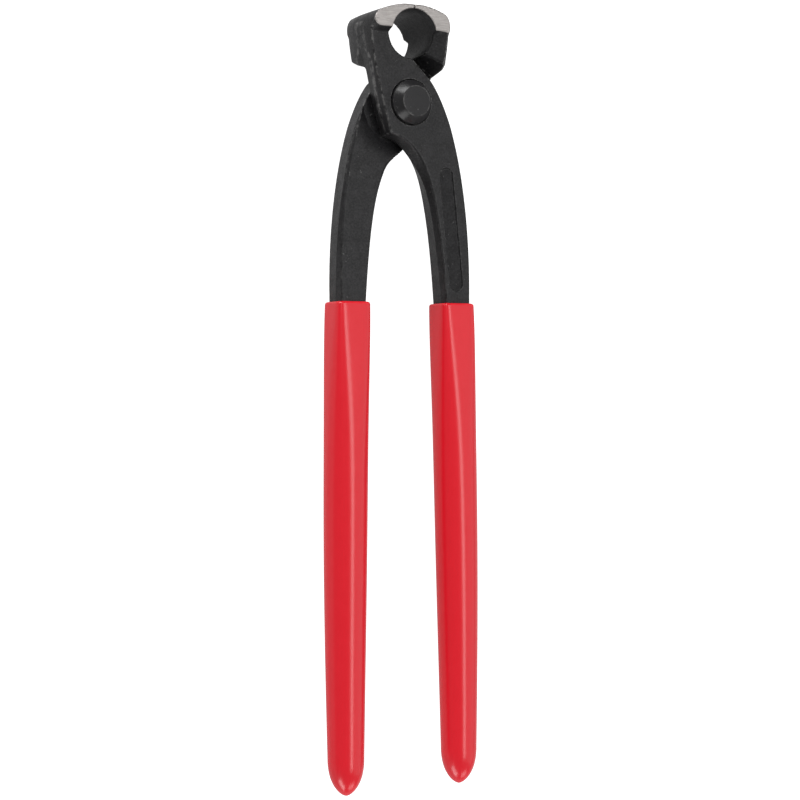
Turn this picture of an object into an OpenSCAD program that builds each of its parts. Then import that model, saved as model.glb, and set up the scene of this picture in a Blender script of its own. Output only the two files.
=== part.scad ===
// Concreter's nippers: two crossed forged levers on one rivet, with dip-coated handles.
// The rivet axis is Z, the jaws point along +Y, and the tool lies on Z = 0 with its front face up.
// The two levers meet at the lap plane. They are one shape turned over about Y, apart from the walls
// under their jaws and a panel on the front one.

/* [Jaws] */
// Width of the cutting edges, along the rivet axis
jaw_w = 24; // [22:0.5:30]
// Rivet axis to the middle of the round hollow between the jaws
hollow_y = 24.5; // [24:0.25:28]
// Diameter of the round hollow
hollow_d = 17.8; // [15:0.2:18.4]
// Steel left above the hollow, at the cutting edges
edge_rise = 1.1; // [0.8:0.1:2.5]
// Gap between the two cutting edges when closed
edge_gap = 0.1; // [0.06:0.02:0.3]
// Rivet axis to the outer side of a jaw
head_half = 16.1; // [15.2:0.1:18]
// Radius of the domed top across both jaws
dome_r = 34; // [26:1:60]
// Radius of the rounded corner between that top and a jaw's side
corner_r = 4.5; // [3:0.25:6]
// Height of the lower end of the ground face beside a cutting edge
ground_y = 26; // [25.5:0.1:27]
// Length of the slope from the ground face down to the cheek
ground_slope = 1.7; // [1:0.1:3]
// How far the back of a jaw stands below its cutting edge, at its outer side
jaw_relief = 0.8; // [0.4:0.1:1.5]
// How much further that back stands off at the middle of the tool, which it slopes towards
jaw_dish = 5.5; // [4:0.1:6.5]
// Draft of the jaw's outer side towards its back
jaw_lean = 1.5; // [0:0.1:3]

/* [Lap joint] */
// Thickness of each lever at the joint
cheek_t = 9; // [7:0.25:10.5]
// Gap between the two levers on the lap plane
lap_gap = 0.1; // [0.06:0.02:0.3]
// Radius of the flat round seat that the other lever turns on
seat_r = 15.2; // [15:0.1:16.5]
// Radius of the hollow rise from the seat to the shank
seat_rise_r = 12; // [8:0.5:16]
// Rivet axis to the foot of the wall under the front lever's jaw
front_wall_foot = 15.4; // [15:0.1:16.5]
// Direction of that wall as seen from the rivet
front_wall_angle = 115; // [112:1:118]
// Rivet axis to the foot of the wall under the rear lever's jaw
rear_wall_foot = 14.1; // [13.7:0.1:14.6]
// Direction of that wall as seen from the rivet, before the lever is turned over
rear_wall_angle = 125; // [122:1:127]
// Radius of the hollow at the foot of both walls
wall_rise_r = 2; // [1.5:0.1:4]
// Lowest corner of the cheek beside the crotch, across the tool
heel_x = -8.1; // [-8.6:0.1:-7.6]
// Lowest corner of the cheek beside the crotch, along the tool
heel_y = -11.4; // [-11.9:0.1:-10.9]
// Corner of the cheek below the jaws' notch, across the tool
shoulder_x = 8.4; // [7.8:0.1:9]
// Corner of the cheek below the jaws' notch, along the tool
shoulder_y = 8; // [7:0.1:9]
// How late the cheek's long side turns inwards below the jaw
flank_power = 1.48; // [1.2:0.02:1.8]

/* [Rivet] */
// Pin diameter
rivet_d = 10; // [8:0.25:11]
// Radial play of the pin in the rear lever
rivet_play = 0.05; // [0.02:0.01:0.1]
// Diameter of the rivet head
head_d = 15.6; // [14:0.1:16]
// Diameter of the flat on the head
head_flat_d = 10.8; // [8:0.1:12]
// Height of the head above its seat
head_h = 4.6; // [3.6:0.1:6]
// Height of the head's straight rim
head_rim = 1.4; // [0.8:0.1:2]
// Depth of the round recess that the head sits in
recess_depth = 0.5; // [0.2:0.1:1]
// Gap round the head in that recess
recess_gap = 0.4; // [0.2:0.1:0.8]
// Play under the rear head
head_play = 0.1; // [0.05:0.01:0.2]

/* [Shanks] */
// Width of the shank's face where the coating starts
shank_w = 9.8; // [8:0.1:11]
// Thickness of the shank where the coating starts
shank_t = 10; // [8:0.1:12]
// Parting ridge left along the sides by the forging die
ridge = 0.45; // [0.2:0.05:0.8]
// How much further the ridge stands out in the crotch
crotch_draft = 1.4; // [0:0.1:1.8]
// Bevel along the edges
edge_bevel = 0.7; // [0.4:0.05:1]
// Height at which the shank's two faces start to slope back
taper_start_y = -8; // [-14:0.5:-6]
// Run of the crotch's curve out from the heel
crotch_run = 15.4; // [14:0.1:17]
// Fall of the crotch's curve along that run
crotch_fall = 2.4; // [1.6:0.1:3]
// Height that the inner edge bends about
inner_bend_y = -29; // [-36:0.5:-26]
// How far in from the handle that bend is
inner_bend_in = 4.4; // [3:0.1:5]
// Run of the outer edge's curve out from the shoulder
shoulder_run = 8.1; // [7:0.1:9]
// Fall of the outer edge's curve along that run
shoulder_fall = 10; // [8:0.5:12]
// Height that the outer edge bends about
outer_bend_y = -31; // [-36:0.5:-27]
// How far in from the handle that bend is
outer_bend_in = 0.7; // [0:0.1:1.5]
// Length of the recessed panel on the front shank
panel_l = 44; // [30:1:46]
// Width of that panel
panel_w = 5.3; // [3:0.1:6]
// Depth of that panel
panel_depth = 0.5; // [0.3:0.05:0.8]
// Gap from the panel to the coating
panel_gap = 4.4; // [2:0.1:6]
// Inward offset of the panel's lower end from the handle's middle
panel_offset = 1; // [0.4:0.1:1.4]
// Further inward offset of the panel's upper end
panel_lean = 5.4; // [4.8:0.1:6]

/* [Handles] */
// Height at which the coating starts
grip_top_y = -71; // [-80:0.5:-66]
// Height of the handle tips
tip_y = -246; // [-280:0.5:-220]
// Rivet axis to the middle of a handle where the coating starts
handle_x = 21.4; // [20:0.1:25]
// How much further out the handle is near its tip
handle_spread = 1.9; // [0:0.1:5]
// Coating thickness at its top edge
coat_t = 1.35; // [1:0.05:2]
// Swell of the handle at the palm, on every side
palm_swell = 1.25; // [1:0.05:1.8]
// Squareness of the coating at its top edge
grip_square = 6; // [4:0.25:8]
// Width of the handle near its tip
grip_end_w = 13.3; // [12:0.1:15]
// Thickness of the handle near its tip
grip_end_t = 12.6; // [12:0.1:15]
// Coating thickness near the tip
coat_end = 2.4; // [1.8:0.1:3]
// Length of the rounded tip
tip_l = 14; // [10:0.5:18]
// Steel stops this far short of the tip
core_stop = 6.5; // [5:0.5:9]
// Rounding of the coating's top edge
mouth_round = 0.8; // [0.4:0.1:1]

/* [Hidden] */
$fn = 96;

STEEL = [0.22, 0.215, 0.225];
RIVET = [0.3, 0.3, 0.31];
RED = [0.84, 0.12, 0.14];

// Cuts reach past the steel by this much
SPILL = 2;
// Uncut jaw sections reach past the middle plane, and past the bottom of the hollow, by this much
JAW_SPILL = 0.5;
RIM_SPILL = 0.2;
// Stations along the jaw, the cheek, the shank and the handle, and points round a handle
DOME_STEPS = 4;
CORNER_STEPS = 5;
CHEEK_STEPS = 6;
SHANK_STEPS = 12;
CORE_STEPS = 7;
GRIP_STEPS = 14;
TIP_STEPS = 8;
GRIP_POINTS = 24;
RISE_STEPS = 10;
// Steepest slope of the hollow rises on the shank's side and on the jaw's side
SEAT_TURN = 60;
WALL_TURN = 75;
// Share of the shank over which the crotch's wider ridge fades out
CROTCH_FADE = 0.6;
// Powers that place the palm swell, fade the coating's squareness, and shape the tip's end and shoulder
SWELL_POWER = 0.8;
FADE_POWER = 8;
END_POWER = 2.4;
TIP_POWER = 0.62;

jaw_z = jaw_w / 2;
hollow_r = hollow_d / 2;
jaw_top = hollow_y + hollow_r + edge_rise;
corner_x = head_half - corner_r;
corner_turn = asin(corner_x / (dome_r - corner_r));
flank_y = jaw_top - dome_r + (dome_r - corner_r) * cos(corner_turn);
rim = [JAW_SPILL, hollow_y - hollow_r + RIM_SPILL];
heel = [heel_x, heel_y];
shoulder = [shoulder_x, shoulder_y];
head_seat = cheek_t - recess_depth;
rear_seat = head_seat + head_play;
rest_z = rear_seat + head_h;
core_end_y = tip_y + core_stop;
grip_w = shank_w + 2 * ridge + 2 * coat_t;
grip_t = shank_t + 2 * coat_t;

// The shank's edges: cubic curves from the cheek's corners to the coating
inner_x = handle_x - shank_w / 2;
outer_x = handle_x + shank_w / 2;
inner_edge = [heel, heel + [crotch_run, -crotch_fall], [inner_x - inner_bend_in, inner_bend_y],
              [inner_x, grip_top_y]];
outer_edge = [shoulder, shoulder + [shoulder_run, -shoulder_fall], [outer_x - outer_bend_in, outer_bend_y],
              [outer_x, grip_top_y]];

function mix(a, b, t) = a + (b - a) * t;
function share(value, low, high) = min(1, max(0, (value - low) / (high - low)));
function bezier(p, t) = pow(1 - t, 3) * p[0] + 3 * t * pow(1 - t, 2) * p[1]
                      + 3 * t * t * (1 - t) * p[2] + pow(t, 3) * p[3];

// Left side of the jaw and the cheek, upright at the top and leaning in to the heel
function flank(y) =
    [mix(-head_half, heel.x, pow((flank_y - y) / (flank_y - heel.y), flank_power)), y];

// Top of the left jaw: the wide dome, then the corner, by the angle from upright
function dome(a) = a < corner_turn
    ? [-dome_r * sin(a), jaw_top - dome_r * (1 - cos(a))]
    : [-corner_x - corner_r * sin(a), flank_y + corner_r * cos(a)];

// Front and back faces of the shank: as the cheek at the joint, then an even slope to the coating
function shank_front(y) = mix(cheek_t, shank_t / 2, share(-y, -taper_start_y, -grip_top_y));
function shank_back(y) = mix(edge_bevel, shank_t / 2, share(-y, -taper_start_y, -grip_top_y));

// One cross-section from the left edge l to the right edge r: a bevelled bar with a parting ridge.
// front and back are its heights above and below the lap plane, mid is the height of the ridge,
// lean is the draft of its back left side, extra widens the ridge on the left,
// dish thins the back on the right.
function section(l, r, front, back, bevel, mid = 0, lean = 0, extra = 0, dish = 0) =
    let (w = norm(r - l),
         along = (r - l) / w,
         outline = [[-ridge - extra, mid], [0, front - bevel], [bevel, front],
                    [w - bevel, front], [w, front - bevel], [w + ridge, mid],
                    [w, bevel + dish - back], [w - bevel, dish - back],
                    [lean + bevel, -back], [lean, bevel - back]])
    [for (p = outline) [l.x + along.x * p[0], l.y + along.y * p[0], p[1]]];

// Middle of the handle at a height
function handle_mid(y) =
    let (t = (grip_top_y - y) / (grip_top_y - tip_y - tip_l))
    handle_x + handle_spread * t * (2 - t);

// Share of the handle passed at a height, its swell there, and what is left of its squareness
function grip_share(y) = share(-y, -grip_top_y, -(tip_y + tip_l));
function swell(y) = palm_swell * sin(180 * pow(grip_share(y), SWELL_POWER));
function squareness(y) = pow(1 - grip_share(y), FADE_POWER);

// Steel core inside the coating, which swells and rounds with the handle
function core_section(y) =
    let (t = share(-y, -grip_top_y, -core_end_y),
         half_w = mix(shank_w, grip_end_w - 2 * coat_end, t) / 2 + swell(y),
         half_t = mix(shank_t, grip_end_t - 2 * coat_end, t) / 2 + swell(y),
         mid = handle_mid(y))
    section([mid - half_w, y], [mid + half_w, y], half_t, half_t, mix(half_w / 2, edge_bevel, squareness(y)));

function jaw_rings() =
    [for (i = [1 : DOME_STEPS], a = [corner_turn * i / DOME_STEPS])
        let (l = dome(a)) section(l, [rim.x, l.y], jaw_z, jaw_z, edge_bevel, lean = jaw_lean * sin(a)),
     for (i = [1 : CORNER_STEPS], a = [mix(corner_turn, 90, i / CORNER_STEPS)])
        let (l = dome(a)) section(l, [rim.x, l.y], jaw_z, jaw_z, edge_bevel, lean = jaw_lean * sin(a)),
     section(flank(ground_y), [rim.x, ground_y], jaw_z, jaw_z, edge_bevel, lean = jaw_lean)];

function cheek_rings() =
    let (low = ground_y - ground_slope)
    [for (y = [low, mix(low, rim.y, 0.5)])
        section(flank(y), [rim.x, y], cheek_t, jaw_z - jaw_relief, edge_bevel,
                lean = jaw_lean, dish = jaw_dish),
     for (i = [0 : CHEEK_STEPS])
        let (t = i / CHEEK_STEPS)
        section(flank(mix(rim.y, heel.y, t)), mix(rim, shoulder, t), cheek_t,
                mix(jaw_z - jaw_relief, cheek_t, t), edge_bevel, mix(0, cheek_t / 2, t), mix(jaw_lean, 0, t),
                dish = mix(jaw_dish, 0, t))];

function shank_rings() =
    [for (i = [1 : SHANK_STEPS])
        let (t = i / SHANK_STEPS,
             l = bezier(inner_edge, t),
             r = bezier(outer_edge, t),
             y = (l.y + r.y) / 2,
             front = shank_front(y),
             back = shank_back(y))
        section(l, r, front, back, edge_bevel, (front - back) / 2, 0,
                crotch_draft * sin(180 * share(t, 0, CROTCH_FADE)))];

function core_rings(first) =
    [for (i = [first : CORE_STEPS]) core_section(mix(grip_top_y, core_end_y, i / CORE_STEPS))];

// One ring of a handle: a superellipse that is square at the coating's top and round at the tip
function grip_ring(y, size = 1, inset = 0) =
    let (t = grip_share(y),
         half_w = (mix(grip_w, grip_end_w, t) / 2 + swell(y) - inset) * size,
         half_t = (mix(grip_t, grip_end_t, t) / 2 + swell(y) - inset) * size,
         power = 2 / mix(2, grip_square, squareness(y)))
    [for (k = [0 : GRIP_POINTS - 1])
        let (a = -360 * k / GRIP_POINTS, c = cos(a), s = sin(a))
        [handle_mid(y) + half_w * sign(c) * pow(abs(c), power), y, half_t * sign(s) * pow(abs(s), power)]];

// Shrink of the rounded tip, d above its end
function tip_size(d) = pow(1 - pow(1 - d / tip_l, END_POWER), TIP_POWER);

function grip_rings() =
    [grip_ring(grip_top_y, 1, mouth_round),
     grip_ring(grip_top_y - mouth_round / 3, 1, mouth_round / 3),
     for (i = [0 : GRIP_STEPS])
        grip_ring(mix(grip_top_y - mouth_round, tip_y + tip_l, i / GRIP_STEPS)),
     for (i = [1 : TIP_STEPS])
        let (d = tip_l * pow(1 - i / (TIP_STEPS + 0.6), 2)) grip_ring(tip_y + d, tip_size(d))];

// Closed skin over a row of rings with the same number of points, with flat ends
module skin(rings) {
    n = len(rings[0]);
    last = (len(rings) - 1) * n;
    sides = [for (i = [0 : len(rings) - 2], k = [0 : n - 1])
        let (a = i * n + k, b = i * n + (k + 1) % n)
        each [[a, b, a + n], [b, b + n, a + n]]];
    ends = [for (k = [1 : n - 2]) each [[0, k + 1, k], [last, last + k, last + k + 1]]];
    polyhedron([for (ring = rings) each ring], concat(sides, ends));
}

// Outline of what is cut away: a flat as far as reach, a hollow of radius r up to the turn, then straight
function rise(reach, r, turn) =
    concat([for (i = [0 : RISE_STEPS])
               let (a = turn * i / RISE_STEPS) [reach + r * sin(a), r * (cos(a) - 1)]],
           [[reach + r * sin(turn) + jaw_w * cos(turn), r * (cos(turn) - 1) - jaw_w * sin(turn)]]);

// Below the lap plane, the round seat on the shank side for the other lever's cheek
module shank_seat() {
    intersection() {
        rotate_extrude()
            polygon(concat([[0, -2 * jaw_w], [0, 0]], rise(seat_r, seat_rise_r, SEAT_TURN)));
        translate([-jaw_w * 2, shoulder.y / 2 - jaw_w * 2, -jaw_w])
            cube([jaw_w * 4, jaw_w * 2, jaw_w * 2]);
    }
}

// Below the lap plane, the notch under the jaw, which ends in a wall with a curved foot
module jaw_notch(foot, angle) {
    intersection() {
        rotate([0, 0, angle])
            rotate([90, 0, 0])
                linear_extrude(jaw_w * 4, center = true)
                    polygon(concat([[-jaw_w, -2 * jaw_w], [-jaw_w, 0]], rise(foot, wall_rise_r, WALL_TURN)));
        translate([-jaw_w * 2, shoulder.y / 2, -jaw_w])
            cube([jaw_w * 4, jaw_w * 2, jaw_w * 2]);
    }
}

// One forging, front side up, with its lap face at half the lap gap
module lever(bore_d, foot, angle) {
    difference() {
        skin(concat(jaw_rings(), cheek_rings(), shank_rings(), core_rings(1)));
        translate([0, hollow_y, -jaw_w])
            cylinder(h = jaw_w * 2, r = hollow_r);
        translate([-edge_gap / 2, hollow_y, -jaw_w])
            cube([jaw_w, jaw_w, jaw_w * 2]);
        translate([0, 0, lap_gap / 2]) {
            shank_seat();
            jaw_notch(foot, angle);
        }
        translate([0, 0, -jaw_w])
            cylinder(h = jaw_w * 2, d = bore_d);
        translate([0, 0, head_seat])
            cylinder(h = jaw_w, d = head_d + 2 * recess_gap);
    }
}

// Long round-ended recess in the front of the shank, left bare
module panel_recess() {
    low_y = grip_top_y + panel_gap + panel_w / 2;
    high_y = low_y + panel_l - panel_w;
    low_x = handle_x - panel_offset;
    high_x = low_x - panel_lean;
    low_z = shank_front(low_y);
    high_z = shank_front(high_y);
    run = norm([high_x - low_x, high_y - low_y]);
    translate([low_x, low_y, low_z - panel_depth])
        rotate([0, 0, atan2(high_y - low_y, high_x - low_x)])
            rotate([0, -atan2(high_z - low_z, run), 0])
                linear_extrude(SPILL) {
                    circle(d = panel_w);
                    translate([run, 0])
                        circle(d = panel_w);
                    translate([0, -panel_w / 2])
                        square([run, panel_w]);
                }
}

module grip() {
    difference() {
        skin(grip_rings());
        skin(concat([for (p = [core_section(grip_top_y)]) [for (q = p) [q.x, q.y + SPILL, q.z]]],
                    core_rings(0)));
    }
}

// Lifts the lap plane so that the rear rivet head lies on Z = 0
module lift() {
    translate([0, 0, rest_z])
        children();
}

module turn_over() {
    rotate([0, 180, 0])
        children();
}

module front_lever() {
    color(STEEL) lift() difference() {
        lever(rivet_d, front_wall_foot, front_wall_angle);
        panel_recess();
    }
}

module rear_lever() {
    color(STEEL) lift() turn_over()
        lever(rivet_d + 2 * rivet_play, rear_wall_foot, rear_wall_angle);
}

module pivot_rivet() {
    pin_r = rivet_d / 2;
    head_r = head_d / 2;
    flat_r = head_flat_d / 2;
    color(RIVET) lift() rotate_extrude()
        polygon([[0, -rest_z], [flat_r, -rest_z], [head_r, -rear_seat - head_rim], [head_r, -rear_seat],
                 [pin_r, -rear_seat], [pin_r, head_seat], [head_r, head_seat], [head_r, head_seat + head_rim],
                 [flat_r, head_seat + head_h], [0, head_seat + head_h]]);
}

module right_grip() {
    color(RED) lift() grip();
}

module left_grip() {
    color(RED) lift() turn_over() grip();
}

front_lever();
rear_lever();
pivot_rivet();
right_grip();
left_grip();
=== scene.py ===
# %% [markdown]
# Concreter's nippers, dressed for a studio picture.
# The real tool is two black forgings crossed on one rivet, with red vinyl dipped over the handles.
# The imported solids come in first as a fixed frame. Every piece below is made in that same frame, in place.

# %% Load the frame
import math

import bpy
import numpy as np
from mathutils import Matrix


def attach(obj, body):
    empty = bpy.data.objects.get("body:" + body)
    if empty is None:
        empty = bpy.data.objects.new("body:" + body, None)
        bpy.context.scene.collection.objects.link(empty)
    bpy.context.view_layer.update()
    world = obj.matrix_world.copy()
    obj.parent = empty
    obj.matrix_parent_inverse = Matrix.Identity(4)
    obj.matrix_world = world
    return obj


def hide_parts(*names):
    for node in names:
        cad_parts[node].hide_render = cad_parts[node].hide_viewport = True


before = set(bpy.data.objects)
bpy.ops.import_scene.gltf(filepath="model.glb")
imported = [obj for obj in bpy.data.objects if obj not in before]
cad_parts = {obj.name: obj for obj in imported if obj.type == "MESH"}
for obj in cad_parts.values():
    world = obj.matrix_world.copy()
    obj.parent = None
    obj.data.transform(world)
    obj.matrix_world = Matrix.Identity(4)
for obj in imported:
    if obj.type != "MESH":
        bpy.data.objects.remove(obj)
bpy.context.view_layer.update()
MM = 0.001

# %% [markdown]
# Both forgings come from nearly the same die: the rear one is the front one turned over about the long axis.
# So one lever is worked out in its own millimetres, with its lap face at height zero and its jaw on the left.
# Its plan could be drawn by hand, but the real outline is a few clear curves:
# a wide dome, a round corner, a leaning side, a curve into the crotch, and the handle.

# %% The jaw's side and the handle's line
JAW_TOP, HEAD_HALF, DOME_R, CORNER_R = 34.5, 16.1, 34.0, 4.5
TURN = math.asin((HEAD_HALF - CORNER_R) / (DOME_R - CORNER_R))
CORNER_Y = JAW_TOP - DOME_R + (DOME_R - CORNER_R) * math.cos(TURN)
HEEL, FLANK_POWER = np.array([-8.1, -11.4]), 1.48
GRIP_TOP, TIP_Y, TIP_L = -71.0, -246.0, 14.0
HANDLE_X, SPREAD = 21.4, 1.9


def mix(a, b, t):
    return a + (b - a) * t


def ramp(v, low, high):
    """0 at low, 1 at high, straight between and level outside. High may be the smaller of the two."""
    return np.clip((v - low) / (high - low), 0, 1)


def handle_mid(y):
    """The handle drifts outwards as t(2-t), t running from the coating's top to the rounded tip."""
    t = (GRIP_TOP - y) / (GRIP_TOP - TIP_Y - TIP_L)
    return HANDLE_X + SPREAD * t * (2 - t)


def flank(y):
    """Left side of the jaw and the cheek: it leans in from the corner to the heel as a power of the depth."""
    return mix(-HEAD_HALF, HEEL[0], ramp(-y, -CORNER_Y, -HEEL[1]) ** FLANK_POWER)


print("head corner: turns", round(math.degrees(TURN), 1), "degrees, ends at y", round(CORNER_Y, 1))

# %% [markdown]
# The side of a forging is two drafted faces that meet in a ridge where the dies parted.
# So each lever has three outlines: at the ridge, at its front face and at its back face.
# The ridge stands out most on the sides that the photo shows, and the crotch differs a little between the levers.

# %% Three outlines for each lever
JAW_FLAT, RIM_Y = 34.3, 15.8
SHANK_W, CORE_END, CORE_END_W = 9.8, -239.5, 8.5
SHOULDER = np.array([8.4, 8.0])
INNER_X, OUTER_X = HANDLE_X - SHANK_W / 2, HANDLE_X + SHANK_W / 2
INNER_CURVE = [HEEL, HEEL + [15.4, -2.4], [INNER_X - 4.4, -29], [INNER_X, GRIP_TOP]]
OUTER_CURVE = [SHOULDER, SHOULDER + [8.1, -10], [OUTER_X - 0.7, -31], [OUTER_X, GRIP_TOP]]
PAST_MIDDLE = 0.5  # the plan runs this far past the contact plane, which trims it later
RIDGE, SWELL, JAW_LEAN = 0.45, 0.45, 1.5


def bezier(points, t):
    """Cubic curve: four points weighted by (1-t)^3, 3t(1-t)^2, 3t^2(1-t) and t^3."""
    t = t[:, None]
    a, b, c, d = np.array(points)
    return (1 - t) ** 3 * a + 3 * t * (1 - t) ** 2 * b + 3 * t * t * (1 - t) * c + t ** 3 * d


def lever_plan(ridge=0, lean=0, inner_swell=0, outer_swell=0, crotch=0, crotch_reach=1):
    """Closed outline: arc of the dome cut flat on top, arc of the corner, leaning side, cubic inner edge,
    straight core, cubic outer edge. ridge moves both sides out and lean pulls the jaw's side in. The shank's edges
    swell as sin(pi t), and the inner edge as sin^2(pi t / crotch_reach) in the crotch."""
    a = np.linspace(0, TURN, 24)
    dome_y = np.minimum(JAW_TOP - DOME_R * (1 - np.cos(a)), JAW_FLAT)
    dome = np.c_[(lean - DOME_R) * np.sin(a) - ridge, dome_y]
    a = np.linspace(TURN, np.pi / 2, 14)
    corner_x = CORNER_R - HEAD_HALF + (lean - CORNER_R) * np.sin(a) - ridge
    corner = np.c_[corner_x, CORNER_Y + CORNER_R * np.cos(a)]
    y = np.linspace(CORNER_Y, HEEL[1], 60)[1:-1]
    side = np.c_[flank(y) + lean * ramp(y, HEEL[1], RIM_Y) - ridge, y]
    t = np.linspace(0, 1, 90)
    inner, outer = bezier(INNER_CURVE, t), bezier(OUTER_CURVE, t)
    across = (outer - inner) / np.linalg.norm(outer - inner, axis=1)[:, None]
    belly, web = np.sin(np.pi * t), np.sin(np.pi * ramp(t, 0, crotch_reach)) ** 2
    inner = inner - across * (ridge + inner_swell * belly + crotch * web)[:, None]
    outer = outer + across * (ridge + outer_swell * belly)[:, None]
    y = np.linspace(GRIP_TOP, CORE_END, 40)[1:]
    half = mix(SHANK_W, CORE_END_W, ramp(-y, -GRIP_TOP, -CORE_END)) / 2 + ridge
    left, right = np.c_[handle_mid(y) - half, y], np.c_[handle_mid(y) + half, y]
    rim = np.array([[PAST_MIDDLE, RIM_Y], [PAST_MIDDLE, JAW_FLAT]])
    return np.vstack([dome, corner[1:], side, inner, left, right[::-1], outer[::-1], rim])


front_outlines = (
    lever_plan(ridge=RIDGE, inner_swell=2 * SWELL, outer_swell=SWELL, crotch=1.4, crotch_reach=0.65),
    lever_plan(inner_swell=SWELL),
    lever_plan(lean=JAW_LEAN, crotch=-0.6, crotch_reach=0.7),
)
rear_outlines = (
    lever_plan(ridge=RIDGE, inner_swell=0.1, outer_swell=2 * SWELL, crotch=1.6, crotch_reach=0.46),
    lever_plan(),
    lever_plan(lean=JAW_LEAN, outer_swell=SWELL),
)
print("outline:", len(front_outlines[0]), "corners, width and length mm", np.ptp(front_outlines[0], axis=0).round(1))

# %% [markdown]
# A forging has no sharp edges. Bevelled solids would show hard facets, so the steel is described as a field instead:
# a number at every point, negative in the steel, that is nearly the distance to the surface.
# It starts with the distance to each outline, kept on a grid that is finer where the shape is busy.

# %% Distance to the outlines, on a grid
CELL = 0.4
GRID_X = np.arange(-18, 30, CELL)
GRID_Y = np.r_[np.arange(-252, -76, 3.0), np.arange(-75, 37, 0.5)]
GRID_Z = np.arange(-12.8, 12.9, CELL)


def plan_distance(outline):
    """Distance from each grid point to the nearest side of the outline, row by row,
    with a minus sign where a ray crosses the outline an odd number of times."""
    a, step = outline, np.roll(outline, -1, axis=0) - outline
    length2 = np.maximum((step ** 2).sum(1), 1e-12)
    rows = []
    for y in GRID_Y:
        ax, ay = GRID_X[:, None] - a[:, 0], y - a[:, 1]
        t = np.clip((ax * step[:, 0] + ay * step[:, 1]) / length2, 0, 1)
        near = np.sqrt(((ax - t * step[:, 0]) ** 2 + (ay - t * step[:, 1]) ** 2).min(1))
        spans = (a[:, 1] > y) != (a[:, 1] + step[:, 1] > y)
        cross = a[:, 0] + ay * step[:, 0] / np.where(step[:, 1] == 0, 1, step[:, 1])
        inside = ((GRID_X[:, None] < cross) & spans).sum(1) % 2 == 1
        rows.append(np.where(inside, -near, near))
    return np.array(rows).T


def cubic_weights(t):
    """Catmull-Rom weights of four neighbours for a point at t between the middle two."""
    return [(-t ** 3 + 2 * t * t - t) / 2, (3 * t ** 3 - 5 * t * t + 2) / 2,
            (-3 * t ** 3 + 4 * t * t + t) / 2, (t ** 3 - t * t) / 2]


def plan_at(plans, x, y):
    """Smooth lookup in three plan grids at once, from four by four neighbours."""
    u, v = np.interp(x, GRID_X, np.arange(len(GRID_X))), np.interp(y, GRID_Y, np.arange(len(GRID_Y)))
    iu, iv = np.clip(u.astype(int), 1, len(GRID_X) - 3), np.clip(v.astype(int), 1, len(GRID_Y) - 3)
    wu, wv = cubic_weights(u - iu), cubic_weights(v - iv)
    return sum(wu[i] * wv[j] * plans[:, iu + i - 1, iv + j - 1] for i in range(4) for j in range(4))


front_plans = np.stack([plan_distance(outline) for outline in front_outlines])
rear_plans = np.stack([plan_distance(outline) for outline in rear_outlines])
print("plan grids:", front_plans.shape, rear_plans.shape)

# %% [markdown]
# Next come the heights. The jaw stands out past the cheek in front, where its end is ground flat,
# and the shank slopes from the cheek to the middle of the tool, where the coating takes over.
# The back of the jaw falls off towards the middle. The ridge of the dies has a height of its own along the lever.

# %% Heights of the faces and the ridge
CHEEK_T, JAW_Z, JAW_BACK = 9.0, 12.0, 11.2
SHANK_T, SHANK_BACK, SHANK_START = 10.0, 0.7, 8.0
GROUND_Y, GROUND_SLOPE, GROUND_CORNER = 26.0, 1.7, 3.2
DISH_EDGE, DISH_END, DISH_DEPTH = 2.2, -0.2, 5.5
HEEL_RIDGE, CHEEK_RIDGE, CHEEK_FULL_Y, CHEEK_FADE = 3.9, 5.5, -4.0, (22, 14)
SHIFT_FADE, FRONT_SHIFT, REAR_SHIFT = (12, 25), 2.0, -1.2


def front_height(x, y):
    """Front face: the ground end of the jaw with one round corner of radius r, a slope down to the cheek,
    and the shank that slopes back to the coating."""
    r = GROUND_CORNER
    in_x, in_y = x + HEAD_HALF, y - GROUND_Y
    inside = r - np.hypot(np.maximum(r - in_x, 0), np.maximum(r - in_y, 0))
    jaw = mix(CHEEK_T, JAW_Z, np.clip(1 + inside / GROUND_SLOPE, 0, 1))
    return np.where(y > 0, jaw, mix(CHEEK_T, SHANK_T / 2, ramp(-y, SHANK_START, -GRIP_TOP)))


def back_height(x, y):
    """Back face: the ground end, below it a face that slopes off towards the middle of the tool, then the shank."""
    edge = flank(y) + DISH_EDGE
    dish = DISH_DEPTH * np.clip((x - edge) / (DISH_END - edge), 0, 1)
    jaw = mix(JAW_BACK - dish, JAW_Z, ramp(y, GROUND_Y - GROUND_SLOPE, GROUND_Y))
    shank = mix(SHANK_BACK, SHANK_T / 2, ramp(-y, SHANK_START, -GRIP_TOP))
    return mix(shank, jaw, ramp(y, -SHANK_START, SHANK_START))


def ridge_height(y, front, back, in_front):
    """Height of the ridge: high on the front lever's cheek, fading towards the jaw, and past mid-thickness on its
    shank. On the rear lever it starts on the lap plane, and nears the back face along the shank."""
    shift = ramp(-y, *SHIFT_FADE)
    if not in_front:
        return REAR_SHIFT * shift
    cheek = mix(HEEL_RIDGE, CHEEK_RIDGE, ramp(y, HEEL[1], CHEEK_FULL_Y)) * ramp(y, *CHEEK_FADE)
    return np.where(y > HEEL[1], cheek, (front - back) / 2 + FRONT_SHIFT * shift)


print("front and back of the shank mm at its start:", front_height(0.0, -SHANK_START), back_height(0.0, -SHANK_START))

# %% [markdown]
# The faces and cuts are added to the sides with a rounded maximum, which turns each edge into an arc.
# The lap joint is the clever part of the tool. Behind the lap face each lever is cut away twice:
# a round seat that rolls up to the shank, and a notch that ends in a wall under the jaw.

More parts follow.
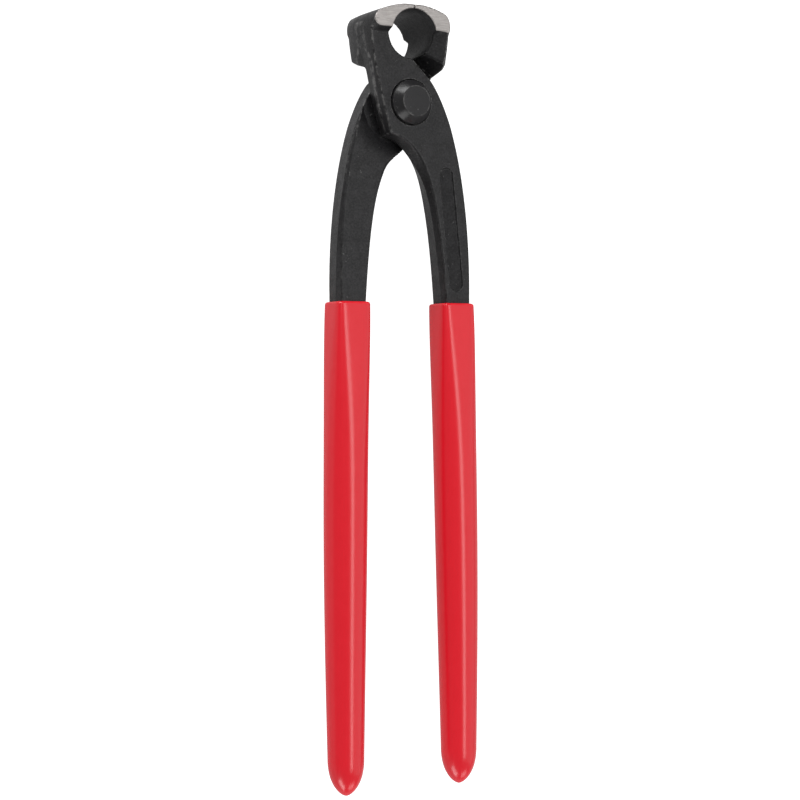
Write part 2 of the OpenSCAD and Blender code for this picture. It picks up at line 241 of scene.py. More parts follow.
# %% The cuts
SEAT_R, SEAT_ROLL, SEAT_PAST = 14.6, 8.5, 2.0
WALL_RISE, WALL_TURN = 2.0, math.radians(75)
SPLIT_Y = 4.0  # the seat lies below, the wall above
HALF_GAP = 0.05
PANEL_LOW, PANEL_RUN, PANEL_HALF = np.array([20.4, -63.95]), np.array([-5.4, 38.7]), 2.65


def round_max(a, b, r):
    """The larger of two fields, with their meeting edge rounded to radius r."""
    return np.minimum(np.maximum(a, b), -r) + np.hypot(np.maximum(a + r, 0), np.maximum(b + r, 0))


def hollow_rise(s, r, turn):
    """Depth and slope of a rise that starts level, follows a circle of radius r up to the turn,
    then runs straight."""
    bend = np.clip(s, 0, r * math.sin(turn))
    drop = r - np.sqrt(r * r - bend * bend)
    past = np.maximum(s - r * math.sin(turn), 0)
    return drop + past * math.tan(turn), bend / np.sqrt(r * r - bend * bend)


def lap_cut(x, y, z, back, foot, angle):
    """Distance above the lap cut, divided by its steepness: on the shank's side a round seat that rolls up to the
    shank's face as s(2-s), on the jaw's side the wall."""
    out = (np.hypot(x, y) - SEAT_R) / SEAT_ROLL
    s = np.clip(out, 0, 1)
    seat = (back + HALF_GAP) * s * (2 - s) + SEAT_PAST * np.maximum(out - 1, 0) ** 2
    seat_slope = np.where(out > 0, 2 * (back + HALF_GAP) * (1 - s) / SEAT_ROLL, 0)
    along = x * math.cos(angle) + y * math.sin(angle)
    wall, wall_slope = hollow_rise(along - foot, WALL_RISE, WALL_TURN)
    drop, slope = np.where(y < SPLIT_Y, seat, wall), np.where(y < SPLIT_Y, seat_slope, wall_slope)
    return (HALF_GAP - drop - z) / np.sqrt(1 + slope * slope)


def panel_depth(x, y):
    """Distance inside the long round-ended panel on the front shank: half its width less the distance
    to its middle line."""
    in_x, in_y = x - PANEL_LOW[0], y - PANEL_LOW[1]
    t = np.clip((in_x * PANEL_RUN[0] + in_y * PANEL_RUN[1]) / (PANEL_RUN @ PANEL_RUN), 0, 1)
    return PANEL_HALF - np.hypot(in_x - t * PANEL_RUN[0], in_y - t * PANEL_RUN[1])


print("panel mm: length", round(np.linalg.norm(PANEL_RUN) + 2 * PANEL_HALF, 1), "width", 2 * PANEL_HALF)

# %% [markdown]
# Now one function joins them all. The side slides from the ridge's outline to the front's or the back's,
# straight along the shank and curved on the jaw, and the cheek's flank is drafted inwards under its ridge.
# Each edge gets its own radius: crisp on ground faces, soft on forged ones, round on the core in the sleeve.

# %% The steel as a field
FRONT_WALL, REAR_WALL = (15.4, math.radians(115)), (14.1, math.radians(125))  # foot and direction
HOLLOW_Y, HOLLOW_R, HOLLOW_RISE = 24.5, 8.9, 8.4
EDGE_R, GROUND_EDGE_R, CORE_EDGE_R, FLANK_EDGE_R, HOLLOW_EDGE_R = 0.65, 0.1, 2.2, 0.1, 0.2
LAP_EDGE_R, LAP_EDGE_Y = (0.35, 0.8), (2, 8)
CORE_TAPER = 1.1
DRAFT_POWER, DRAFT_POWER_Y = (1, 2), (2, 12)
CHEEK_DRAFT, DRAFT_FADE = 0.15, (20, 14)
BORE_R, RECESS_R, HEAD_SEAT = 5.05, 8.2, 8.5
PANEL_SINK, PANEL_EDGE_R = 0.5, 0.3
NO_CUT = -9.0


def steel(x, y, z, plans, wall, in_front):
    """Field of one lever: sides, front and back faces, hollow, contact plane, lap cut, bore, head recess, panel."""
    mid, front_plan, back_plan = plan_at(plans, x, y)
    core = ramp(-y, -GRIP_TOP, -CORE_END)
    front, back = front_height(x, y) - CORE_TAPER * core, back_height(x, y) - CORE_TAPER * core
    parting = ridge_height(y, front, back, in_front)
    above = z > parting
    lift = np.clip(np.where(above, (z - parting) / (front - parting), (parting - z) / (parting + back)), 0, 1)
    power = mix(*DRAFT_POWER, ramp(y, *DRAFT_POWER_Y))
    side = mix(mid, np.where(above, front_plan, back_plan), lift ** power)
    undercut = CHEEK_DRAFT * np.clip(CHEEK_RIDGE - z, 0, CHEEK_RIDGE) * ramp(y, *DRAFT_FADE)
    side = round_max(side, flank(y) - RIDGE + undercut - x, FLANK_EDGE_R)
    edge = mix(mix(EDGE_R, GROUND_EDGE_R, ramp(y, GROUND_Y - 1, GROUND_Y)), CORE_EDGE_R, core)
    field = round_max(side, z - front, edge)
    field = round_max(field, -z - back, edge)
    flatter = np.where(y > HOLLOW_Y, HOLLOW_R / HOLLOW_RISE, 1)
    field = round_max(field, HOLLOW_R - np.hypot(x, (y - HOLLOW_Y) * flatter), HOLLOW_EDGE_R)
    field = np.maximum(field, np.where(y > HOLLOW_Y, x + HALF_GAP, NO_CUT))
    r = np.hypot(x, y)
    cut = lap_cut(x, y, z, back, *wall)
    rounded = round_max(field, cut, mix(*LAP_EDGE_R, ramp(y, *LAP_EDGE_Y)))
    field = np.where((y < SPLIT_Y) & (r > SEAT_R), np.maximum(field, cut), rounded)
    field = np.maximum(field, BORE_R - r)
    field = np.maximum(field, np.minimum(RECESS_R - r, z - HEAD_SEAT))
    if in_front:
        field = round_max(field, np.minimum(panel_depth(x, y), z - front + PANEL_SINK), PANEL_EDGE_R)
    return field


def front_steel(x, y, z):
    return steel(x, y, z, front_plans, FRONT_WALL, in_front=True)


def rear_steel(x, y, z):
    return steel(x, y, z, rear_plans, REAR_WALL, in_front=False)


at_bore = np.array([0.0, 7.0]), np.zeros(2), np.full(2, CHEEK_T / 2)
print("field mm on the rivet's axis and in the cheek beside it:", front_steel(*at_bore).round(2))

# %% [markdown]
# Blender needs faces, so the zero level of the field is drawn as a net: one corner in each grid cell that the
# surface crosses, joined across every grid edge that goes from steel to air. Marching cubes would also do it,
# but the net gives even quads.

# %% From field to net
def net_surface(values):
    """Surface net: the mean of the edge crossings in each mixed cell, and a quad round every crossed grid edge."""
    inside = values < 0
    n = np.array(values.shape) - 1
    corner = [inside[i:n[0] + i, j:n[1] + j, k:n[2] + k] for i in (0, 1) for j in (0, 1) for k in (0, 1)]
    filled = sum(c.astype(np.int8) for c in corner)
    cells = np.argwhere((filled > 0) & (filled < 8))
    index = np.full(n, -1)
    index[tuple(cells.T)] = np.arange(len(cells))
    axes = (GRID_X, GRID_Y, GRID_Z)
    total, hits = np.zeros((len(cells), 3)), np.zeros(len(cells))
    quads = []
    for axis in range(3):
        u, v = [(1, 2), (2, 0), (0, 1)][axis]
        for du in (0, 1):
            for dv in (0, 1):
                a = cells.copy()
                a[:, u] += du
                a[:, v] += dv
                b = a.copy()
                b[:, axis] += 1
                fa, fb = values[tuple(a.T)], values[tuple(b.T)]
                crossed = (fa < 0) != (fb < 0)
                t = np.where(crossed, fa / np.where(crossed, fa - fb, 1), 0)
                point = np.stack([axes[c][a[:, c]] for c in range(3)], 1)
                point[:, axis] += t * (axes[axis][b[:, axis]] - axes[axis][a[:, axis]])
                total += point * crossed[:, None]
                hits += crossed
        first = [slice(None)] * 3
        second = [slice(None)] * 3
        first[axis], second[axis] = slice(0, -1), slice(1, None)
        edges = np.argwhere(inside[tuple(first)] != inside[tuple(second)])
        ring = []
        for du, dv in ((-1, -1), (0, -1), (0, 0), (-1, 0)):
            cell = edges.copy()
            cell[:, u] += du
            cell[:, v] += dv
            ring.append(index[tuple(cell.T)])
        ring = np.stack(ring, 1)
        leaving = inside[tuple(edges.T)]
        quads.append(np.where(leaving[:, None], ring, ring[:, ::-1]))
    return total / hits[:, None], np.vstack(quads)


print("grid of the net:", len(GRID_X), "x", len(GRID_Y), "x", len(GRID_Z))

# %% [markdown]
# The net's corners lie only roughly on the surface. Each is slid along the field's slope until the field is zero.
# The slope itself becomes the shading normal, so the arcs shine as if they were exact,
# and how fast it turns tells where the edges are, which the wear needs later.

# %% Onto the surface
def slope_of(field, p, h=0.05):
    """Gradient of the field by central differences."""
    d = np.eye(3) * h
    return np.stack([field(*(p + d[i]).T) - field(*(p - d[i]).T) for i in range(3)], 1) / (2 * h)


def settle(field, p, steps=4, longest=0.25):
    """Newton steps along the slope towards field zero, none longer than the given millimetres."""
    for _ in range(steps):
        g = slope_of(field, p)
        move = -field(*p.T)[:, None] * g / np.maximum((g * g).sum(1), 0.05)[:, None]
        p = p + move * np.minimum(1, longest / np.maximum(np.linalg.norm(move, axis=1), 1e-9))[:, None]
    return p


def bend_of(field, p, h=0.35):
    """How sharply the surface turns outwards, per mm: the field's second differences added over the three axes."""
    d = np.eye(3) * h
    return sum(field(*(p + d[i]).T) + field(*(p - d[i]).T) - 2 * field(*p.T) for i in range(3)) / h ** 2


near_cheek = np.array([[10.0, -3.0, CHEEK_T - 0.2]])
print("a point near the cheek's face settles at mm:", settle(front_steel, near_cheek)[0].round(2))

# %% [markdown]
# One helper puts any finished surface into the scene: it makes the mesh from whole arrays, keeps the worked-out
# normals, hangs the piece on the body it moves with and hides the solid it stands for.
# The rear lever is turned over by changing the sign of x and z. Two signs at once keep its faces looking outwards.
# The panel keeps the die's rough skin, and an attribute marks it for the finish.

# %% The two forgings
LAP_Z = 13.2
LAP_LIFT, TURNED_OVER = np.array([0.0, 0.0, LAP_Z]), np.array([-1.0, 1.0, -1.0])
RIM_SHELTER = 0.6
CAST_FADE, CAST_ABOVE = 0.6, 3.0


def forge(field):
    """Corners, quads, normals and outward bend of one lever.
    The hollow's rim is sheltered from wear, so its bend counts as none."""
    gx, gy = [g.ravel() for g in np.meshgrid(GRID_X, GRID_Y, indexing="ij")]
    layers = [field(gx, gy, np.full(gx.shape, z)).reshape(len(GRID_X), len(GRID_Y)) for z in GRID_Z]
    points, quads = net_surface(np.stack(layers, 2))
    points = settle(field, points)
    slope = slope_of(field, points)
    normals = slope / np.maximum(np.linalg.norm(slope, axis=1), 1e-9)[:, None]
    sheltered = np.hypot(points[:, 0], points[:, 1] - HOLLOW_Y) < HOLLOW_R + RIM_SHELTER
    return points, quads, normals, np.where(sheltered, 0, bend_of(field, points))


def make_piece(name, points, faces, body, node, slot, normals=None, **attributes):
    """A mesh from corner and face arrays in millimetres, in place in the frame."""
    mesh = bpy.data.meshes.new(name)
    mesh.from_pydata((points * MM).tolist(), [], faces)
    mesh.polygons.foreach_set("use_smooth", np.ones(len(mesh.polygons), bool))
    for key, values in attributes.items():
        mesh.attributes.new(key, "FLOAT", "POINT").data.foreach_set("value", np.asarray(values, np.float32))
    if normals is not None:
        mesh.normals_split_custom_set_from_vertices(np.asarray(normals).tolist())
    piece = bpy.data.objects.new(name, mesh)
    bpy.context.scene.collection.objects.link(piece)
    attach(piece, body)
    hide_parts(node)
    print(name, "has", len(mesh.vertices), "corners and", len(mesh.polygons), "faces")
    return piece


points, quads, normals, bend = forge(front_steel)
cast = ramp(panel_depth(points[:, 0], points[:, 1]), 0, CAST_FADE) * (points[:, 2] > CAST_ABOVE)
front_forging = make_piece("front_forging", points + LAP_LIFT, quads.tolist(),
                           "front_half", "front_lever", "forged_steel", normals, bend=bend, cast=cast)
points, quads, normals, bend = forge(rear_steel)
rear_forging = make_piece("rear_forging", points * TURNED_OVER + LAP_LIFT, quads.tolist(),
                          "rear_half", "rear_lever", "forged_steel", normals * TURNED_OVER, bend=bend)

# %% [markdown]
# The rivet is turned, then closed over both cheeks, so a profile spun round the axis is its true form.
# Its head has a short straight rim, a cone and a flat, and the corners between them are broken by small arcs.

# %% The rivet
HEAD_R, FLAT_R, HEAD_RIM, HEAD_H, PIN_R = 7.8, 5.4, 1.4, 4.6, 5.0
EDGE_BREAK, RIVET_STEPS = 0.3, 128


def soften(corners, r, count=6):
    """Each corner of an open profile becomes a short parabola that starts and ends r away along its two sides."""
    corners = np.array(corners, float)
    before, here, after = corners[:-2], corners[1:-1], corners[2:]
    a = here + (before - here) * (r / np.linalg.norm(before - here, axis=1))[:, None]
    b = here + (after - here) * (r / np.linalg.norm(after - here, axis=1))[:, None]
    t = np.linspace(0, 1, count)[None, :, None]
    arcs = (1 - t) ** 2 * a[:, None] + 2 * t * (1 - t) * here[:, None] + t * t * b[:, None]
    return np.vstack([corners[:1], arcs.reshape(-1, 2), corners[-1:]])


def ring_faces(rings, around):
    """Quads between neighbouring rings, and a fan at each end to the two poles that follow the last ring."""
    i, k = np.meshgrid(np.arange(rings - 1), np.arange(around), indexing="ij")
    n = (k + 1) % around
    quads = np.stack([i * around + k, i * around + n, (i + 1) * around + n, (i + 1) * around + k], 2)
    k = np.arange(around)
    n, last = (k + 1) % around, (rings - 1) * around
    first_fan = np.stack([n, k, np.full(around, rings * around)], 1)
    last_fan = np.stack([last + k, last + n, np.full(around, rings * around + 1)], 1)
    return quads.reshape(-1, 4).tolist() + first_fan.tolist() + last_fan.tolist()


def spin(profile, around):
    """Surface of revolution: each profile point (radius, height) carried round the Z axis, its two ends as poles."""
    a = np.linspace(0, 2 * np.pi, around, endpoint=False)
    ring = profile[1:-1]
    points = np.stack([ring[:, :1] * np.cos(a), ring[:, :1] * np.sin(a), ring[:, 1:] + 0 * a], 2).reshape(-1, 3)
    poles = [[0, 0, profile[0, 1]], [0, 0, profile[-1, 1]]]
    return np.vstack([points, poles]), ring_faces(len(ring), around)


def profile_bend(profile):
    """Change of heading per mm at each inner point of a profile."""
    step = np.diff(profile, axis=0)
    length = np.linalg.norm(step, axis=1)
    heading = np.unwrap(np.arctan2(step[:, 1], step[:, 0]))
    return 2 * np.diff(heading) / (length[1:] + length[:-1])


low, high = HEAD_H, LAP_Z + HEAD_SEAT
rivet_profile = soften([[0, 0], [FLAT_R, 0], [HEAD_R, low - HEAD_RIM], [HEAD_R, low], [PIN_R, low],
                        [PIN_R, high], [HEAD_R, high], [HEAD_R, high + HEAD_RIM],
                        [FLAT_R, high + HEAD_H], [0, high + HEAD_H]], EDGE_BREAK)
points, faces = spin(rivet_profile, RIVET_STEPS)
bend = np.r_[np.repeat(profile_bend(rivet_profile), RIVET_STEPS), 0, 0]
rivet = make_piece("rivet", points, faces, "front_half", "pivot_rivet", "rivet_steel", bend=bend)

# %% [markdown]
# The red sleeves are vinyl, made by dipping the handle in a bath. The coat hangs on the steel's shape:
# squarish where it starts, rounder and thicker further down, with a drip at the very tip.
# A tube along a path could not change its section this way, so the sleeve is a stack of superellipse rings.

# %% The dipped sleeves
SLEEVE_W, SLEEVE_T = (13.4, 13.3), (12.7, 12.6)
PALM_SWELL, PALM_POWER = 1.24, 0.8
SQUARE, ROUND, SQUARE_FADE = 6, 2, 8
LIP_R, BODY_START = 0.9, 1.2
MOUTH_IN, MOUTH_DEEP, MOUTH_SHALLOW = 1.6, 2.5, 0.3
DRIP_IN, DRIP_OUT, DRIP_START, DRIP_POLE = 2.4, 0.62, 0.006, 0.075
SLEEVE_STEPS = 144


def sleeve_surface():
    """Rings |x/w|^p + |z/t|^p = 1 down the handle. The power p falls from square to round, the size swells at the
    palm and closes at the tip as (1 - (1-d)^2.4)^0.62, and the first rings roll over the lip into the steel."""
    turn = np.linspace(np.pi / 2, 0, 10)
    lip_y, lip_in = GRIP_TOP - LIP_R * (1 - np.sin(turn)), LIP_R * (1 - np.cos(turn))
    body_y = np.linspace(GRIP_TOP - BODY_START, TIP_Y + TIP_L, 120)
    d = DRIP_START + (1 - DRIP_START) * (1 - np.linspace(0, 1, 40)[1:]) ** 2
    y = np.r_[GRIP_TOP - MOUTH_DEEP, GRIP_TOP - MOUTH_SHALLOW, lip_y, body_y, TIP_Y + TIP_L * d]
    inset = np.r_[MOUTH_IN, MOUTH_IN, lip_in, 0 * body_y, 0 * d]
    size = np.r_[np.ones(len(y) - len(d)), (1 - (1 - d) ** DRIP_IN) ** DRIP_OUT]
    t = ramp(-y, -GRIP_TOP, -(TIP_Y + TIP_L))
    swell = PALM_SWELL * np.sin(np.pi * t ** PALM_POWER)
    half_w = (mix(*SLEEVE_W, t) / 2 + swell - inset) * size
    half_t = (mix(*SLEEVE_T, t) / 2 + swell - inset) * size
    power = 2 / mix(ROUND, SQUARE, (1 - t) ** SQUARE_FADE)
    a = np.linspace(0, 2 * np.pi, SLEEVE_STEPS, endpoint=False)
    c, s = np.cos(a), np.sin(a)
    x = handle_mid(y)[:, None] + half_w[:, None] * np.sign(c) * np.abs(c) ** power[:, None]
    z = half_t[:, None] * np.sign(s) * np.abs(s) ** power[:, None]
    points = np.stack([x, np.repeat(y[:, None], SLEEVE_STEPS, 1), z], 2).reshape(-1, 3)
    poles = [[handle_mid(y[0]), y[0], 0], [handle_mid(TIP_Y), TIP_Y + DRIP_POLE, 0]]
    return np.vstack([points, poles]), ring_faces(len(y), SLEEVE_STEPS)


points, faces = sleeve_surface()
right_sleeve = make_piece("right_sleeve", points + LAP_LIFT, faces,
                          "front_half", "right_grip", "red_coating")
left_sleeve = make_piece("left_sleeve", points * TURNED_OVER + LAP_LIFT, faces,
                         "rear_half", "left_grip", "red_coating")

# %% [markdown]
# Three finishes share a few effects, so each effect is a node group with its own inputs.
# Short helpers make the nodes: each takes sockets to link or plain values to set.
# The first effect is the grain of anything that came out of a die or a bath, fine bumps on broad ones.
# A picture could carry it, but noise in the piece's own coordinates has no seams and needs no file.

# %% Grain
def feed(tree, node, inputs):
    """Each input, by name or number, linked to a socket or set to a value."""
    for key, value in inputs.items():
        if isinstance(value, bpy.types.NodeSocket):
            tree.links.new(value, node.inputs[key])
        else:
            node.inputs[key].default_value = value


def add(tree, kind, inputs=None, **settings):
    """A new node with its settings and inputs."""
    node = tree.nodes.new(kind)
    for key, value in settings.items():
        setattr(node, key, value)
    feed(tree, node, inputs or {})
    return node


def math_node(tree, operation, *values):
    return add(tree, "ShaderNodeMath", dict(enumerate(values)), operation=operation).outputs[0]


def times(tree, a, b):
    return math_node(tree, "MULTIPLY", a, b)


def blend_value(tree, share, a, b):
    return add(tree, "ShaderNodeMix", {0: share, 2: a, 3: b}, data_type="FLOAT").outputs[0]


def place_on_piece(tree):
    return add(tree, "ShaderNodeTexCoord").outputs["Object"]


def noise(tree, where, scale, detail, roughness=0.5):
    inputs = {"Vector": where, "Scale": scale, "Detail": detail, "Roughness": roughness}
    return add(tree, "ShaderNodeTexNoise", inputs).outputs[0]


def new_group(name, inputs, outputs):
    """An empty shader group with float inputs and outputs."""
    group = bpy.data.node_groups.new(name, "ShaderNodeTree")
    for key, default in inputs.items():
        group.interface.new_socket(key, in_out="INPUT", socket_type="NodeSocketFloat").default_value = default
    for key in outputs:
        group.interface.new_socket(key, in_out="OUTPUT", socket_type="NodeSocketFloat")
    return group, group.nodes.new("NodeGroupInput"), group.nodes.new("NodeGroupOutput")


grain_group, gin, gout = new_group("grain", {"Size": 1.0}, ["Tone", "Height"])
where, grain_size = place_on_piece(grain_group), gin.outputs["Size"]
fine_scale = math_node(grain_group, "DIVIDE", 1500.0, grain_size)
broad_scale = math_node(grain_group, "DIVIDE", 260.0, grain_size)
fine = noise(grain_group, where, fine_scale, detail=3.0, roughness=0.6)
broad = noise(grain_group, where, broad_scale, detail=4.0)
feed(grain_group, gout, {
    "Tone": blend_value(grain_group, 0.3, fine, broad),
    "Height": math_node(grain_group, "ADD", fine, times(grain_group, broad, 1.6)),
})
print("group:", grain_group.name, "with", len(grain_group.nodes), "nodes")

# %% [markdown]
# A dark skin rubs off first where the surface turns sharply outwards. Wear could be painted on by hand,
# but the bend is already known at every corner of the mesh, so the wear follows the edges by itself.
# Noise breaks it up, and a few nicks lie elsewhere.

# %% Edge wear
def step_node(tree, value, low, high):
    """0 below low, 1 above high, smooth between."""
    return add(tree, "ShaderNodeMapRange", {0: value, 1: low, 2: high}, interpolation_type="SMOOTHSTEP").outputs[0]


wear_group, gin, gout = new_group("edge_wear", {"Bend": 0.0, "Reach": 1.0}, ["Mask"])
where = place_on_piece(wear_group)
edge = step_node(wear_group, gin.outputs["Bend"], 0.85, 1.35)
uneven = step_node(wear_group, noise(wear_group, where, 500.0, detail=6.0, roughness=0.75), 0.4, 0.66)
rubbed = times(wear_group, times(wear_group, edge, uneven), gin.outputs["Reach"])
speck = step_node(wear_group, noise(wear_group, where, 1100.0, detail=1.0), 0.68, 0.8)
region = step_node(wear_group, noise(wear_group, where, 90.0, detail=2.0), 0.48, 0.62)
nicks = times(wear_group, times(wear_group, speck, region), 0.5)
feed(wear_group, gout, {"Mask": math_node(wear_group, "MAXIMUM", rubbed, nicks)})
print("group:", wear_group.name, "with", len(wear_group.nodes), "nodes")

# %% [markdown]
# A grinding wheel leaves straight scratches. Each could be drawn, but there are thousands of them,
# so noise is squeezed hard across the scratches and left long along them.

# %% Grinding lines
GRIND_TURN, GRIND_SCALE = (0, 0, 0.5), (300, 6000, 6000)
grind_group, gin, gout = new_group("grinding_lines", {}, ["Tone"])
squeezed = {"Vector": place_on_piece(grind_group), "Rotation": GRIND_TURN, "Scale": GRIND_SCALE}
where = add(grind_group, "ShaderNodeMapping", squeezed).outputs[0]
feed(grind_group, gout, {"Tone": noise(grind_group, where, 1.0, detail=3.0)})
print("group:", grind_group.name, "with", len(grind_group.nodes), "nodes")

# %% [markdown]
# Black oxide is a thin dark skin on steel: it keeps a satin sheen, and rubs through to grey on the edges,
# most of all round the head. The panel is duller than the rest.
# The ends of the jaws are ground after blackening. They are the only faces that far out, so height alone finds them.

# %% Black forged steel with ground ends
RUB_LOW, RUB_HIGH = -16 * MM, -2 * MM
GROUND_FROM, GROUND_FULL = 11.6 * MM, 11.75 * MM


def new_material(name):
    """A material with one Principled shader."""
    material = bpy.data.materials.new(name)
    material.use_nodes = True
    tree = material.node_tree
    tree.nodes.clear()
    shader = tree.nodes.new("ShaderNodeBsdfPrincipled")
    tree.links.new(shader.outputs[0], tree.nodes.new("ShaderNodeOutputMaterial").inputs[0])
    return material, tree, shader


def blend_colour(tree, share, a, b):
    return add(tree, "ShaderNodeMix", {0: share, 6: a, 7: b}, data_type="RGBA").outputs[2]


def use_group(tree, group, inputs=None):
    return add(tree, "ShaderNodeGroup", inputs, node_tree=group).outputs


def attribute(tree, name):
    return add(tree, "ShaderNodeAttribute", attribute_name=name).outputs["Fac"]


def bumped(tree, height, strength, distance):
    return add(tree, "ShaderNodeBump", {"Height": height, "Strength": strength, "Distance": distance}).outputs[0]


def finish_pieces(material, *pieces):
    for piece in pieces:
        piece.data.materials.append(material)
    print("finish:", material.name, "on", [piece.name for piece in pieces])


forged, tree, shader = new_material("black_forged_steel")
grain = use_group(tree, grain_group, {"Size": 1.0})
place = add(tree, "ShaderNodeSeparateXYZ", {0: place_on_piece(tree)}).outputs
rub_range = {0: place["Y"], 1: RUB_LOW, 2: RUB_HIGH, 3: 0.25, 4: 1.0}
handled = add(tree, "ShaderNodeMapRange", rub_range).outputs[0]
wear = use_group(tree, wear_group, {"Bend": attribute(tree, "bend"), "Reach": handled})
grind = use_group(tree, grind_group)
out = math_node(tree, "ABSOLUTE", math_node(tree, "SUBTRACT", place["Z"], LAP_Z * MM))
ground = step_node(tree, out, GROUND_FROM, GROUND_FULL)
mottle = step_node(tree, grain["Tone"], 0.35, 0.65)
black = blend_colour(tree, mottle, (0.005, 0.0048, 0.0052, 1), (0.02, 0.0194, 0.0206, 1))
worn = blend_colour(tree, wear["Mask"], black, (0.14, 0.137, 0.135, 1))
bright = blend_colour(tree, grind["Tone"], (0.14, 0.131, 0.127, 1), (0.57, 0.537, 0.515, 1))
satin = blend_value(tree, attribute(tree, "cast"), blend_value(tree, mottle, 0.44, 0.3), 0.68)
feed(tree, shader, {
    "Base Color": blend_colour(tree, ground, worn, bright),
    "Metallic": blend_value(tree, ground, 0.0, 0.75),
    "Roughness": blend_value(tree, ground, satin, 0.42),
    "Specular IOR Level": 0.27,
    "Normal": bumped(tree, grain["Height"], strength=0.7, distance=0.0001),
})
finish_pieces(forged, front_forging, rear_forging)

# %% [markdown]
# The rivet has the same black skin, but a lathe leaves less texture than a die. It could share the forgings' finish
# and would look too rough, so it has its own: a finer and weaker grain, a smoother surface and less wear.

# %% Black turned steel
turned, tree, shader = new_material("black_turned_steel")
grain = use_group(tree, grain_group, {"Size": 0.8})
wear = use_group(tree, wear_group, {"Bend": attribute(tree, "bend"), "Reach": 0.4})
black = blend_colour(tree, grain["Tone"], (0.013, 0.0125, 0.0133, 1), (0.02, 0.0195, 0.0205, 1))
feed(tree, shader, {
    "Base Color": blend_colour(tree, wear["Mask"], black, (0.19, 0.186, 0.182, 1)),
    "Roughness": blend_value(tree, grain["Tone"], 0.24, 0.34),
    "Specular IOR Level": 0.28,
    "Normal": bumped(tree, grain["Height"], strength=0.2, distance=0.00004),
})
finish_pieces(turned, rivet)

# %% [markdown]
# Vinyl from a dip bath is glossy and a little wavy, with an even red right through.
# A clear coat over a dull base would also shine, but vinyl is one material, so one smooth surface is truer.

# %% Red vinyl
vinyl, tree, shader = new_material("red_dipped_vinyl")
grain = use_group(tree, grain_group, {"Size": 6.0})
feed(tree, shader, {
    "Base Color": blend_colour(tree, grain["Tone"], (0.71, 0.007, 0.0175, 1), (0.77, 0.01, 0.0235, 1)),
    "Roughness": blend_value(tree, grain["Tone"], 0.2, 0.28),
    "Normal": bumped(tree, grain["Tone"], strength=0.1, distance=0.0002),
})
finish_pieces(vinyl, right_sleeve, left_sleeve)

# %% [markdown]
# The tool lies on a pale table that glows a little, as a light table does. The table is lit like everything else,
# and only its picture in the camera is lifted to white, so no shadow shows but the steel still mirrors a real floor.
# The room behind it is lifted in the same way.

# %% Table and room
TABLE_HALF, TABLE_Z = 3, -0.0003
TABLE_GLOW, ROOM_GLOW, CAMERA_LIFT = 0.36, 0.3, 0.8


def lifted(tree, glow):
    """A glow that rises by the lift where the camera looks straight at it."""
    seen = tree.nodes.new("ShaderNodeLightPath").outputs["Is Camera Ray"]
    return math_node(tree, "MULTIPLY_ADD", seen, CAMERA_LIFT, glow)


square = [(-1, -1), (1, -1), (1, 1), (-1, 1)]
table_mesh = bpy.data.meshes.new("table")
table_mesh.from_pydata([(x * TABLE_HALF, y * TABLE_HALF, TABLE_Z) for x, y in square], [], [(0, 1, 2, 3)])
table = bpy.data.objects.new("table", table_mesh)
bpy.context.scene.collection.objects.link(table)
pale, tree, shader = new_material("pale_table")
feed(tree, shader, {
    "Base Color": (0.3, 0.3, 0.3, 1),
    "Roughness": 0.9,
    "Emission Color": (0.93, 0.93, 0.93, 1),
    "Emission Strength": lifted(tree, TABLE_GLOW),
})
finish_pieces(pale, table)

room = bpy.data.worlds.new("studio")
room.use_nodes = True
background = room.node_tree.nodes["Background"]
feed(room.node_tree, background, {0: (1, 1, 1, 1), 1: lifted(room.node_tree, ROOM_GLOW)})
bpy.context.scene.world = room

# %% [markdown]
# One long soft box hangs over the table, slightly to the right, and draws the bright line down each sleeve.
# A large weak one fills the right sides. Small cards stand round it, most of them low, as in a product shot:
# they put the light on the ground jaws, on the rivet's cone and on the drips.

# %% Light
LIGHTS = [  # name, position and size in metres, brightness
    ("key", (0.25, -0.1, 1.2), (0.29, 1.3), 4.5),
    ("right_fill", (0.95, -0.1, 0.74), (1.2, 1.6), 0.72),
    ("jaw_card", (-0.4, 0.92, 0.22), (0.7, 0.4), 10.0),
    ("tip_card", (-0.42, -0.9, 0.14), (0.5, 0.3), 5.0),
    ("drip_card", (0.3, -0.92, 0.3), (0.4, 0.25), 3.0),
    ("left_card", (-0.62, 0.32, 1.15), (0.5, 0.4), 1.8),
]
AIM_Y, AIM_SHARE, AIM_Z = -0.05, 0.05, 0.01
STEEP = 0.7  # a lamp that looks this much along Y takes its sideways direction from Z


def placed(right, up, back, position):
    """Matrix whose columns are three directions and a position."""
    return Matrix(np.vstack([np.stack([right, up, back, position], 1), [0, 0, 0, 1]]).tolist())


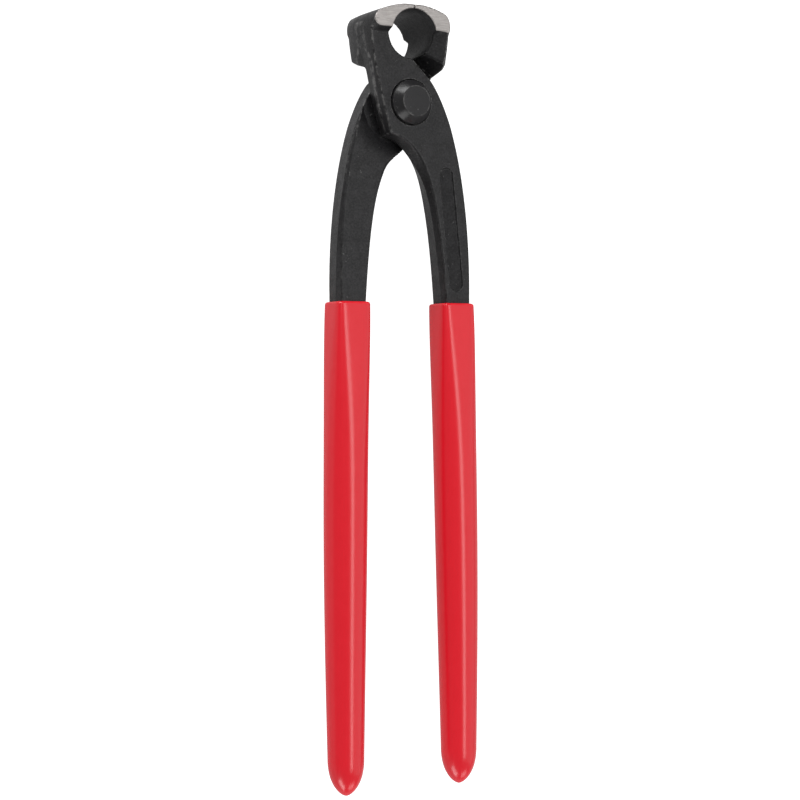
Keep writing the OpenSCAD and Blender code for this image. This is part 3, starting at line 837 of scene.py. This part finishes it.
def soft_box(name, position, size, level):
    """A rectangular area light that faces the tool, in watts that make it as bright as a white of this level."""
    light = bpy.data.lights.new(name, "AREA")
    light.shape, light.size, light.size_y = "RECTANGLE", size[0], size[1]
    light.energy = level * math.pi * size[0] * size[1]
    lamp = bpy.data.objects.new(name, light)
    bpy.context.scene.collection.objects.link(lamp)
    away = np.array(position, float) - [0, position[1] * AIM_SHARE + AIM_Y, AIM_Z]
    away /= np.linalg.norm(away)
    right = np.cross([0, 1, 0] if abs(away[1]) < STEEP else [0, 0, 1], away)
    right /= np.linalg.norm(right)
    lamp.matrix_world = placed(right, np.cross(away, right), away, position)


for light in LIGHTS:
    soft_box(*light)

# %% [markdown]
# The camera stands where the photographer's did: the tool fills the frame from jaw to handle tips,
# seen square along its length and turned about 29 degrees to its left.
# Its place follows from its three angles, its distance, and the pixel where the rivet's axis meets the lap face.

# %% Camera
YAW, PITCH, ROLL = math.radians(29.406), math.radians(0.114), math.radians(-0.384)
FAR, FOCAL = 732.078, 2035.852
PIVOT_PIXEL, PICTURE, SENSOR = (398.833, 105.389), 800, 36
long_axis = np.array([0, 1.0, 0])
right = np.array([math.cos(YAW), 0, math.sin(YAW)])
back = np.array([-math.sin(YAW), 0, math.cos(YAW)])
up = long_axis * math.cos(PITCH) - back * math.sin(PITCH)
back = back * math.cos(PITCH) + long_axis * math.sin(PITCH)
right, up = right * math.cos(ROLL) + up * math.sin(ROLL), up * math.cos(ROLL) - right * math.sin(ROLL)
pixels_right, pixels_up = PIVOT_PIXEL[0] - PICTURE / 2, PICTURE / 2 - PIVOT_PIXEL[1]
centre = (back * FAR - (right * pixels_right + up * pixels_up) * FAR / FOCAL + LAP_LIFT) * MM
lens = bpy.data.cameras.new("camera")
lens.sensor_width, lens.lens = SENSOR, SENSOR * FOCAL / PICTURE
camera = bpy.data.objects.new("camera", lens)
bpy.context.scene.collection.objects.link(camera)
camera.matrix_world = placed(right, up, back, centre)
bpy.context.scene.camera = camera
bpy.context.scene.view_settings.view_transform = "Standard"
print("camera at", centre.round(3), "lens mm", round(lens.lens, 1))
